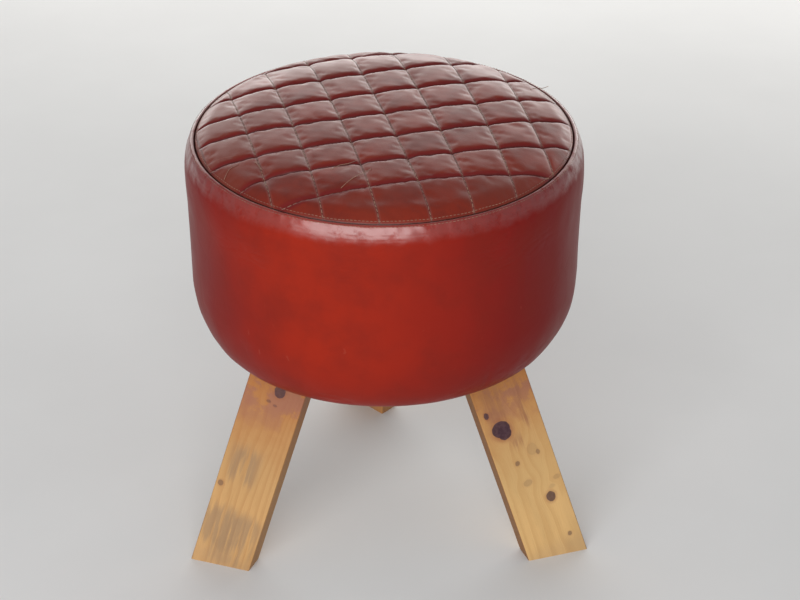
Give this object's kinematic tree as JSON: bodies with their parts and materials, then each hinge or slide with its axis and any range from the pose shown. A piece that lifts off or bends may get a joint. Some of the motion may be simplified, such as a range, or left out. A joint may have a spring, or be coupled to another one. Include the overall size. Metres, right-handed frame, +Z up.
{
  "type": "leather pouf",
  "caption": "Round leather pouf with a quilted, slightly crowned top, standing on splayed wooden plank legs.",
  "frame": {"origin": "on the floor, under the middle of the footprint; the drum's axis stands 17.5 mm in front of it", "axes": "+Z is up, -Y is the front, which the picture is taken from, +X is to the right as seen from the front"},
  "size_m": [0.4045, 0.4143, 0.4513],
  "materials": {
    "quilted_leather": "waxed and worn, burgundy, quilted",
    "wall_leather": "smooth waxed burgundy with small scratches",
    "sewing_thread": "dull tan waxed thread",
    "leg_wood": "bare planed pine with knots and leather-dye stains",
    "frame_wood": "rough sawn softwood",
    "plywood": "plain plywood",
    "foam": "matte upholstery foam",
    "wadding": "loose cotton wadding",
    "under_cloth": "thin dark woven cloth",
    "steel": "dull zinc-plated steel"
  },
  "bodies": {
    "root": {"left_leg": "leg_wood", "right_leg": "leg_wood", "rear_leg": "leg_wood", "left_leg_block": "frame_wood", "right_leg_block": "frame_wood", "rear_leg_block": "frame_wood", "leg_bolts": "steel", "leg_washers": "steel", "leg_nuts": "steel", "block_screws": "steel", "base_board": "plywood", "top_board": "plywood", "drum_hoop": "plywood", "front_post": "frame_wood", "left_post": "frame_wood", "right_post": "frame_wood", "side_foam": "foam", "seat_foam": "foam", "quilt_wadding": "wadding", "quilt_backing": "under_cloth", "top_cover": "quilted_leather", "side_band": "wall_leather", "hem_tacks": "steel", "dust_cover": "under_cloth", "dust_cover_tacks": "steel"}
  },
  "joints": []
}
